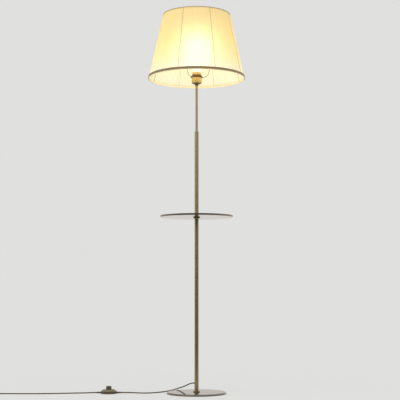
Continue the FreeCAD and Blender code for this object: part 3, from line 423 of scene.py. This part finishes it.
def make_materials():
    """Every material: its name, its kind, lighter and darker colour, smoothest and roughest."""
    made = {}

    def add(name, kind, *values, **settings):
        made[name] = kind(name, *values, **settings)

    add("polished_bronze", metal, (0.215, 0.185, 0.158), (0.185, 0.158, 0.135), 0.05, 0.09,
        scale=25.0, edge=(1.0, 0.94, 0.88))
    # the column's satin bronze, with painted shade darkening it towards the floor
    add("satin_bronze", metal, (0.50, 0.41, 0.25), (0.47, 0.385, 0.225), 0.28, 0.33,
        grain=(1, 1, 0.05), scale=500.0, low=0.70)
    add("antique_brass", metal, (0.76, 0.56, 0.26), (0.68, 0.49, 0.21), 0.24, 0.34,
        scale=120.0, bump=0.04)
    add("dark_brass", metal, (0.20, 0.13, 0.05), (0.16, 0.10, 0.035), 0.4, 0.5, scale=120.0)
    add("cup_brass", cup_brass)
    add("bare_brass", metal, (0.85, 0.66, 0.32), (0.78, 0.60, 0.28), 0.2, 0.3)
    add("zinc_steel", metal, (0.66, 0.66, 0.67), (0.58, 0.58, 0.60), 0.3, 0.45, scale=300.0)
    add("iron", metal, (0.22, 0.21, 0.20), (0.15, 0.145, 0.14), 0.5, 0.7, scale=90.0, bump=0.2)
    add("bulb_metal", metal, (0.74, 0.72, 0.68), (0.66, 0.64, 0.60), 0.18, 0.3, scale=200.0)
    add("pad", moulded, (0.045, 0.042, 0.04), (0.03, 0.028, 0.027), 0.8, 0.95, 1400.0, 0.4)
    add("porcelain", moulded, (0.86, 0.84, 0.79), (0.80, 0.78, 0.73), 0.12, 0.2, 300.0, 0.03)
    add("bulb_glass", lit_glass)
    add("white_wire", moulded, (0.80, 0.76, 0.66), (0.70, 0.65, 0.54), 0.35, 0.5, 700.0, 0.05)
    # painted shade: a darker copy of the white wire, for the shaded side of the carrier's arms
    add("arm_wire", moulded, (0.42, 0.39, 0.32), (0.36, 0.33, 0.27), 0.35, 0.5, 700.0, 0.05)
    # painted light: the tape on the lower ring glows, for the bulb's light falling on it
    add("ring_tape", moulded, (0.66, 0.55, 0.36), (0.58, 0.47, 0.29), 0.8, 0.95, 1200.0, 0.3,
        Emission_Color=(0.50, 0.39, 0.18, 1), Emission_Strength=1.0)
    add("pleated_cloth", lit_cloth)
    add("braid", trim_cloth, (0.47, 0.36, 0.19), (0.06, 0.038, 0.014))
    add("piping", trim_cloth, (0.46, 0.40, 0.23), (0.20, 0.165, 0.085))
    add("cord_bronze", moulded, (0.105, 0.082, 0.045), (0.078, 0.060, 0.032), 0.40, 0.55,
        1200.0, 0.08)
    add("switch_dark", moulded, (0.080, 0.054, 0.024), (0.060, 0.040, 0.017), 0.32, 0.45,
        800.0, 0.06)
    add("switch_bronze", moulded, (0.23, 0.18, 0.11), (0.185, 0.145, 0.085), 0.3, 0.42,
        800.0, 0.05, Metallic=0.35)
    add("tie_black", moulded, (0.03, 0.03, 0.03), (0.018, 0.018, 0.018), 0.4, 0.55)
    return made


# nodes that look other than their slot's material
OWN_LOOKS = {
    "shade_clamp_ring": "dark_brass", "carrier_ring": "dark_brass", "holder_cup": "cup_brass",
    "carrier_arms": "arm_wire", "shade_bottom_ring": "ring_tape"}


def finish_nodes():
    for part in frame["record"]["subparts"]:
        look = OWN_LOOKS.get(part["node"], part["material_slot"])
        for slot in frame["nodes"][part["node"]].material_slots:
            slot.material = materials[look]


# --- Cords ---
def coil_points():
    """Turns in two layers: inwards below, outwards on top, clockwise seen from above."""
    points = []
    # the curve runs inside its points, so they stand a little farther out
    pull = 1 / math.cos(math.pi / COIL_STEPS)
    for k in range(int(COIL_TURNS * COIL_STEPS)):
        turn, step = divmod(k, COIL_STEPS)
        over = max(0.0, (step / COIL_STEPS - CROSS_FROM) / (1 - CROSS_FROM))
        following = COIL_RADII[min(turn + 1, len(COIL_RADII) - 1)]
        radius = COIL_RADII[turn] + (following - COIL_RADII[turn]) * over
        height = COIL_LOW if turn < LOWER_TURNS else COIL_HIGH
        if turn == LOWER_TURNS - 1:
            height += (COIL_HIGH - COIL_LOW) * over
        angle = COIL_START - 2 * math.pi * k / COIL_STEPS
        points.append(round_axis(pull * radius, angle, height, COIL_CENTRE))
    return points


def route_length(points):
    return sum(math.dist(a, b) for a, b in zip(points, points[1:]))


def nurbs_cord(name, points):
    data = bpy.data.curves.new(name, "CURVE")
    data.dimensions = "3D"
    data.bevel_depth = CORD_D / 2
    data.bevel_resolution = 5
    data.resolution_u = 8
    data.use_fill_caps = True
    spline = data.splines.new("NURBS")
    spline.points.add(len(points) - 1)
    for point, place in zip(spline.points, points):
        point.co = (*place, 1)
    spline.order_u = 3
    spline.use_endpoint_u = True
    data.materials.append(materials["cord_bronze"])
    cord = add_object(name, data)
    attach(cord, "lamp")
    return cord


def make_cords():
    first = nurbs_cord("cord_lamp_to_switch", LAMP_TO_SWITCH)
    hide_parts("cord_to_switch")
    route = SWITCH_TO_COIL + coil_points() + COIL_TO_PLUG
    second = nurbs_cord("cord_switch_to_plug", route)
    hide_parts("cord_to_coil", "cord_coil", "cord_tail")
    round(route_length(route), 2)


# --- Surfaces made point by point ---
def surface(name, columns, rows, place, look, values=None, closed=False, caps=False):
    """Smooth tube or band: place(column, row) gives each point, and the columns make a ring."""
    points = [place(i, j) for j in range(rows) for i in range(columns)]
    faces = []
    for j in range(rows if closed else rows - 1):
        above = (j + 1) % rows
        for i in range(columns):
            after = (i + 1) % columns
            faces.append((j * columns + i, j * columns + after,
                          above * columns + after, above * columns + i))
    if caps:
        faces.append(tuple(reversed(range(columns))))
        faces.append(tuple(range((rows - 1) * columns, rows * columns)))
    mesh = bpy.data.meshes.new(name)
    mesh.from_pydata(points, [], faces)
    mesh.shade_smooth()
    mesh.materials.append(materials[look])
    for attribute, value in (values or {}).items():
        layer = mesh.attributes.new(attribute, "FLOAT", "POINT")
        layer.data.foreach_set("value", [value(i, j) for j in range(rows) for i in range(columns)])
    made = add_object(name, mesh)
    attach(made, "lamp")
    return made


def shade_profile():
    """The cloth's outer radius as a function of height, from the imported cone."""
    low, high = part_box("shade_fabric")
    close = 1e-4
    vertices = [vertex.co for vertex in frame["nodes"]["shade_fabric"].data.vertices]
    top_r = max(math.hypot(v.x, v.y) for v in vertices if v.z > high[2] - close)
    bottom_r = max(math.hypot(v.x, v.y) for v in vertices if v.z < low[2] + close)
    slope = (bottom_r - top_r) / (high[2] - low[2])
    return lambda z: bottom_r - slope * (z - low[2])


def make_cloth():
    """Knife pleats, each with a crest, a long flank and a tight fold back to the next."""
    low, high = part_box("shade_fabric")
    rng = random.Random(PLEAT_SEED)
    shift = [rng.uniform(-PLEAT_SHIFT, PLEAT_SHIFT) for _ in range(PLEATS)]
    depth = [rng.uniform(PLEAT_LEAST, 1.0) for _ in range(PLEATS)]
    sway = [rng.uniform(0, 2 * math.pi) for _ in range(PLEATS)]
    bottom, top = low[2] + CLOTH_FOOT, high[2] + CLOTH_HEAD
    points = len(PLEAT_PROFILE)
    # up the outside and down the inside
    rows = 2 * CLOTH_ROWS

    def drift(pleat, part):
        return shift[pleat] + PLEAT_SWAY * math.sin(PLEAT_WAVES * part * math.pi + sway[pleat])

    def inside(i, j):
        return float(j >= CLOTH_ROWS)

    def place(i, j):
        pleat, step = divmod(i, points)
        phase, reach, _ = PLEAT_PROFILE[step]
        part = (rows - 1 - j if inside(i, j) else j) / (CLOTH_ROWS - 1)
        z = bottom + (top - bottom) * part
        moved = drift(pleat, part) * (1 - phase) + drift((pleat + 1) % PLEATS, part) * phase
        angle = 2 * math.pi * (pleat + phase + moved) / PLEATS
        radius = outer(z) - PLEAT_DEPTH * (1 - reach * depth[pleat]) - SKIN * inside(i, j)
        return round_axis(radius, angle, z)

    def fold(i, j):
        pleat, step = divmod(i, points)
        return PLEAT_PROFILE[step][2] * depth[pleat]

    cloth = surface("pleated_cloth", PLEATS * points, rows, place, "pleated_cloth",
                    {"fold": fold, "inside": inside}, closed=True)
    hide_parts("shade_fabric")
    slant = math.dist((outer(low[2]), low[2]), (outer(high[2]), high[2]))


def twisted_ring(name, ring_r, z, look, cord_r, turns, contrast=1.0):
    """Cord of two twisted strands, laid in a ring."""
    columns = turns * TWIST_STEPS

    def lay(i, j):
        return 2 * (2 * math.pi * j / TWIST_SIDES) - 2 * math.pi * i / TWIST_STEPS

    def place(i, j):
        angle = 2 * math.pi * j / TWIST_SIDES
        radius = cord_r * (1 - TWIST_DEPTH + TWIST_DEPTH * math.cos(lay(i, j)))
        across = ring_r + radius * math.cos(angle)
        return round_axis(across, 2 * math.pi * i / columns, z + radius * math.sin(angle))

    # painted shade: darker in the groove between the two strands
    def hollow_shade(i, j):
        return 1.0 - contrast * (0.5 - 0.5 * math.cos(lay(i, j)))

    return surface(name, columns, TWIST_SIDES, place, look, {"hollow_shade": hollow_shade}, closed=True)


def make_braid():
    """Flat woven band between two twisted cords, sewn over the shade's lower edge."""
    low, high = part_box("shade_bottom_braid")
    twisted_ring("braid_lower_cord", outer(low[2]) + LOWER_CORD_OUT, low[2] + LOWER_CORD_UP,
                 "braid", **LOWER_CORD)
    twisted_ring("braid_upper_cord", outer(high[2]) + UPPER_CORD_OUT, high[2] - UPPER_CORD_DOWN,
                 "braid", **UPPER_CORD)
    columns = WEAVE_STEPS * WEAVES
    bottom, top = low[2] + BAND_FOOT, high[2] - BAND_HEAD
    middle, swing = BAND_SHADES

    def lay(i, j):
        across = 2 * math.pi * WEAVES * i / columns
        side = j / (BAND_ROWS - 1) - 0.5
        return math.cos(across + WEAVE_SLANT * abs(side) * math.pi)

    def place(i, j):
        z = bottom + (top - bottom) * j / (BAND_ROWS - 1)
        radius = outer(z) + BAND_OUT + BAND_RELIEF * (1 + lay(i, j))
        return round_axis(radius, 2 * math.pi * i / columns, z)

    # painted shade: darker in the weave's hollows
    def hollow_shade(i, j):
        return middle + swing * lay(i, j)

    band = surface("braid_band", columns, BAND_ROWS, place, "braid", {"hollow_shade": hollow_shade})
    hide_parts("shade_bottom_braid")


def make_piping():
    low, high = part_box("shade_top_piping")
    radius = (high[2] - low[2]) / 2
    piping = twisted_ring("top_piping", high[0] - radius, high[2] - radius, "piping",
                          cord_r=radius, turns=PIPING_TURNS)
    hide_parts("shade_top_piping")


def make_spring():
    """Return spring at its length under the pressed button, so that it stays inside."""
    low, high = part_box("switch_spring")
    wire = SPRING_WIRE / 2
    centre = [(low[axis] + high[axis]) / 2 for axis in (0, 1)]
    coil_r = (high[0] - low[0]) / 2 - wire
    bottom, top = low[2] + wire, high[2] - wire - BUTTON_TRAVEL
    rows = SPRING_STEPS * SPRING_TURNS + 1

    def place(i, j):
        along = j / (rows - 1)
        angle = 2 * math.pi * i / SPRING_SIDES
        height = bottom + (top - bottom) * along + wire * math.sin(angle)
        return round_axis(coil_r + wire * math.cos(angle), 2 * math.pi * SPRING_TURNS * along,
                          height, centre)

    spring = surface("return_spring", SPRING_SIDES, rows, place, "zinc_steel", caps=True)
    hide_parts("switch_spring")


# --- Stage ---
def make_floor():
    """Pale floor: it takes the lamp's shadow near the base and stays plain farther out."""
    nodes = Material("floor", Roughness=0.9, Specular_IOR_Level=0.0, Base_Color=(*FLOOR_COLOUR, 1))
    path = nodes.add("ShaderNodeLightPath").outputs
    # what metal mirrors: a dark studio in front, pale floor behind
    mirrored = nodes.spread(nodes.split()["Y"], FRONT_DARK, FLOOR_BEHIND, *FLOOR_EDGE)
    change = nodes.times(path["Is Glossy Ray"], nodes.math("SUBTRACT", mirrored, 1.0))
    plain = nodes.add("ShaderNodeEmission")
    plain.inputs["Color"].default_value = (*BACKGROUND, 1)
    nodes.link(nodes.math("ADD", 1.0, change), plain.inputs["Strength"])
    seen = nodes.math("ADD", path["Is Camera Ray"], path["Is Transmission Ray"])
    seen = nodes.math("ADD", seen, path["Is Glossy Ray"], clamp=True)
    away = nodes.length(nodes.coords.outputs["Object"])
    mix = nodes.add("ShaderNodeMixShader")
    nodes.link(nodes.times(seen, nodes.spread(away, FLOOR_NEAR, 1.0, *FLOOR_FADE)), mix.inputs["Fac"])
    nodes.link(nodes.shader.outputs["BSDF"], mix.inputs[1])
    nodes.link(plain.outputs["Emission"], mix.inputs[2])
    nodes.link(mix.outputs["Shader"], nodes.tree.nodes["Material Output"].inputs["Surface"])
    corners = [round_axis(FLOOR_R, 2 * math.pi * k / FLOOR_SIDES, 0) for k in range(FLOOR_SIDES)]
    mesh = bpy.data.meshes.new("floor")
    mesh.from_pydata(corners, [], [tuple(range(FLOOR_SIDES))])
    mesh.materials.append(nodes.material)
    add_object("floor", mesh)


def make_world():
    """Plain background for the eye; metal mirrors a studio that is dark low in front."""
    world = bpy.data.worlds.new("studio")
    world.use_nodes = True
    bpy.context.scene.world = world
    nodes = Nodes(world.node_tree)
    way = nodes.split("Generated")
    front = nodes.eased(way["Z"], FRONT_DARK, FRONT_HIGH, FRONT_RISE)
    front = nodes.times(front, nodes.eased(way["X"], *SIDE_LEVELS, SIDE_SPAN))
    back = nodes.eased(way["Y"], 0.0, 1.0, BACK_SPAN)
    front = nodes.times(front, nodes.math("SUBTRACT", 1.0, back))
    level = nodes.math("ADD", front, nodes.times(back, WORLD_BEHIND))
    glossy = nodes.add("ShaderNodeLightPath").outputs["Is Glossy Ray"]
    change = nodes.times(glossy, nodes.math("SUBTRACT", level, 1.0))
    shader = world.node_tree.nodes["Background"]
    shader.inputs["Color"].default_value = (*BACKGROUND, 1)
    nodes.link(nodes.math("ADD", change, 1.0), shader.inputs["Strength"])


def add_light(name, kind, place, power, **settings):
    """A light that itself isn't seen, nor mirrored."""
    data = bpy.data.lights.new(name, kind)
    data.energy = power
    for key, value in settings.items():
        setattr(data, key, value)
    light = add_object(name, data)
    light.location = place
    light.visible_glossy = False
    light.visible_camera = False
    return light


def make_lights():
    for name, (place, power) in SOFT_LIGHTS.items():
        light = add_light(name, "AREA", place, power, shape="DISK", size=SOFT_D)
        towards = Vector(SOFT_AIM) - Vector(place)
        light.rotation_euler = towards.to_track_quat("-Z", "Y").to_euler()
    add_light("lamp_glow", "POINT", GLOW_PLACE, GLOW_LIGHT, shadow_soft_size=GLOW_R, color=GLOW_COLOUR)


make_camera()
materials = make_materials()
finish_nodes()
make_cords()
outer = shade_profile()
make_braid()
make_piping()
make_spring()
make_cloth()
make_floor()
make_world()
make_lights()
bpy.context.scene.view_settings.view_transform = "Standard"
